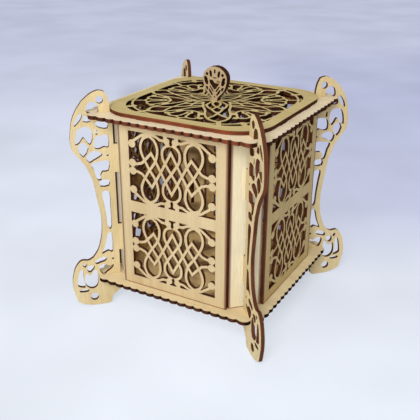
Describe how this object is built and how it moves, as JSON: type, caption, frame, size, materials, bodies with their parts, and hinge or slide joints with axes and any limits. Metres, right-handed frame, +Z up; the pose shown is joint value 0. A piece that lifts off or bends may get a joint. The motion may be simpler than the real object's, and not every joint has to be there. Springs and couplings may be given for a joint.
{
  "type": "dice box with lift-off lid",
  "caption": "Square laser-cut plywood box on four scrolled corner legs, with knotwork fret walls, scalloped plates and a loose fretwork lid with an upright knob.",
  "frame": {"origin": "on the floor under the middle of the box", "axes": "+Z up, -Y out of the front wall, +X to the right of the front wall"},
  "size_m": [0.1778, 0.1778, 0.1993],
  "materials": {
    "plywood": "raw laser-cut plywood, satin, edges burnt dark brown",
    "plywood_light": "raw laser-cut plywood, lighter sheet, edges burnt dark brown",
    "plywood_leg": "raw laser-cut plywood, edges burnt dark brown"
  },
  "bodies": {
    "box": {"base_plate": "plywood", "top_plate": "plywood", "front_wall": "plywood", "rear_wall": "plywood", "left_wall": "plywood", "right_wall": "plywood", "post_front_left": "plywood_light", "post_front_right": "plywood_light", "post_rear_left": "plywood_light", "post_rear_right": "plywood_light", "leg_front_left": "plywood_leg", "leg_front_right": "plywood_leg", "leg_rear_left": "plywood_leg", "leg_rear_right": "plywood_leg"},
    "lid": {"lid_plate": "plywood_light", "lid_ring": "plywood", "knob_front": "plywood_light", "knob_rear": "plywood_light"}
  },
  "joints": [
    {"name": "lid_lift", "type": "slide", "parent": "box", "child": "lid", "axis": [0, 0, 1], "range_m": [0, 0.05]}
  ]
}
